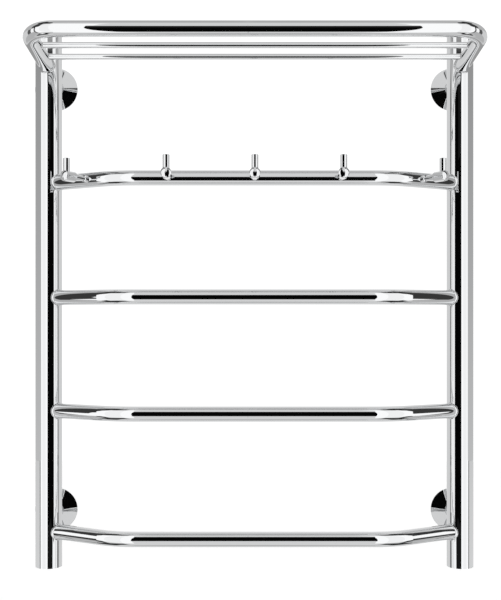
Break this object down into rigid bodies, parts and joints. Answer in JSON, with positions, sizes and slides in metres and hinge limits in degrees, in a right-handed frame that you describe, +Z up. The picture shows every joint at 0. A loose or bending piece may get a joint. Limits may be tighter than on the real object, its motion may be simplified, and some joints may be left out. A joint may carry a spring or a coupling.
{
  "type": "towel rail",
  "caption": "Wall-hung ladder towel rail: two upright tubes, bowed rungs, a tube shelf on top, hooks on the top rung and conical wall rosettes.",
  "frame": {"origin": "middle of the four wall fixings, on the wall's face", "axes": "+X to the viewer's right, +Y into the wall, +Z up; the front faces -Y"},
  "size_m": [0.5536, 0.2261, 0.6526],
  "materials": {
    "polished_tube": "mirror-polished stainless tube",
    "polished_turned": "polished turned stainless",
    "polished_cover": "polished spun stainless sheet",
    "machined_steel": "turned stainless, fine tool marks",
    "pipe_thread": "machined stainless pipe thread",
    "black_screw": "black-oxide screw",
    "zinc_screw": "bright zinc-plated screw"
  },
  "bodies": {
    "wall_brackets": {"wall_sleeve_top_left": "machined_steel", "wall_sleeve_top_right": "machined_steel", "wall_sleeve_bottom_left": "machined_steel", "wall_sleeve_bottom_right": "machined_steel", "wall_screws": "zinc_screw"},
    "rail": {"left_upright": "polished_tube", "right_upright": "polished_tube", "left_pipe_socket": "pipe_thread", "right_pipe_socket": "pipe_thread", "left_top_cap": "polished_tube", "right_top_cap": "polished_tube", "rung_1": "polished_tube", "rung_2": "polished_tube", "rung_3": "polished_tube", "rung_4": "polished_tube", "shelf_frame": "polished_tube", "shelf_bar_front": "polished_tube", "shelf_bar_rear": "polished_tube", "hook_arm_1": "polished_turned", "hook_arm_2": "polished_turned", "hook_arm_3": "polished_turned", "hook_arm_4": "polished_turned", "hook_arm_5": "polished_turned", "hook_peg_1": "polished_turned", "hook_peg_2": "polished_turned", "hook_peg_3": "polished_turned", "hook_peg_4": "polished_turned", "hook_peg_5": "polished_turned", "bracket_pin_top_left": "machined_steel", "bracket_pin_top_right": "machined_steel", "bracket_pin_bottom_left": "machined_steel", "bracket_pin_bottom_right": "machined_steel"},
    "rosette_top_left": {"rosette_top_left": "polished_cover"},
    "grub_screw_top_left": {"grub_screw_top_left": "black_screw"},
    "rosette_top_right": {"rosette_top_right": "polished_cover"},
    "grub_screw_top_right": {"grub_screw_top_right": "black_screw"},
    "rosette_bottom_left": {"rosette_bottom_left": "polished_cover"},
    "grub_screw_bottom_left": {"grub_screw_bottom_left": "black_screw"},
    "rosette_bottom_right": {"rosette_bottom_right": "polished_cover"},
    "grub_screw_bottom_right": {"grub_screw_bottom_right": "black_screw"},
    "vent_screw": {"vent_screw": "polished_turned"}
  },
  "joints": [
    {"name": "standoff_slide", "type": "slide", "parent": "wall_brackets", "child": "rail", "axis": [0, -1, 0], "range_m": [-0.002, 0.008]},
    {"name": "rosette_slide_top_left", "type": "slide", "parent": "wall_brackets", "child": "rosette_top_left", "axis": [0, -1, 0], "range_m": [0, 0.016]},
    {"name": "rosette_slide_top_right", "type": "slide", "parent": "wall_brackets", "child": "rosette_top_right", "axis": [0, -1, 0], "range_m": [0, 0.016]},
    {"name": "rosette_slide_bottom_left", "type": "slide", "parent": "wall_brackets", "child": "rosette_bottom_left", "axis": [0, -1, 0], "range_m": [0, 0.016]},
    {"name": "rosette_slide_bottom_right", "type": "slide", "parent": "wall_brackets", "child": "rosette_bottom_right", "axis": [0, -1, 0], "range_m": [0, 0.016]},
    {"name": "grub_turn_top_left", "type": "hinge", "parent": "wall_brackets", "child": "grub_screw_top_left", "pos_m": [-0.25, -0.022, 0.265], "axis": [0, 0, -1], "range_deg": [0, 360]},
    {"name": "grub_turn_top_right", "type": "hinge", "parent": "wall_brackets", "child": "grub_screw_top_right", "pos_m": [0.25, -0.022, 0.265], "axis": [0, 0, -1], "range_deg": [0, 360]},
    {"name": "grub_turn_bottom_left", "type": "hinge", "parent": "wall_brackets", "child": "grub_screw_bottom_left", "pos_m": [-0.25, -0.022, -0.265], "axis": [0, 0, -1], "range_deg": [0, 360]},
    {"name": "grub_turn_bottom_right", "type": "hinge", "parent": "wall_brackets", "child": "grub_screw_bottom_right", "pos_m": [0.25, -0.022, -0.265], "axis": [0, 0, -1], "range_deg": [0, 360]},
    {"name": "vent_turn", "type": "hinge", "parent": "rail", "child": "vent_screw", "pos_m": [0.25, -0.048, 0.325], "axis": [0, 0, 1], "range_deg": [0, 360]}
  ]
}
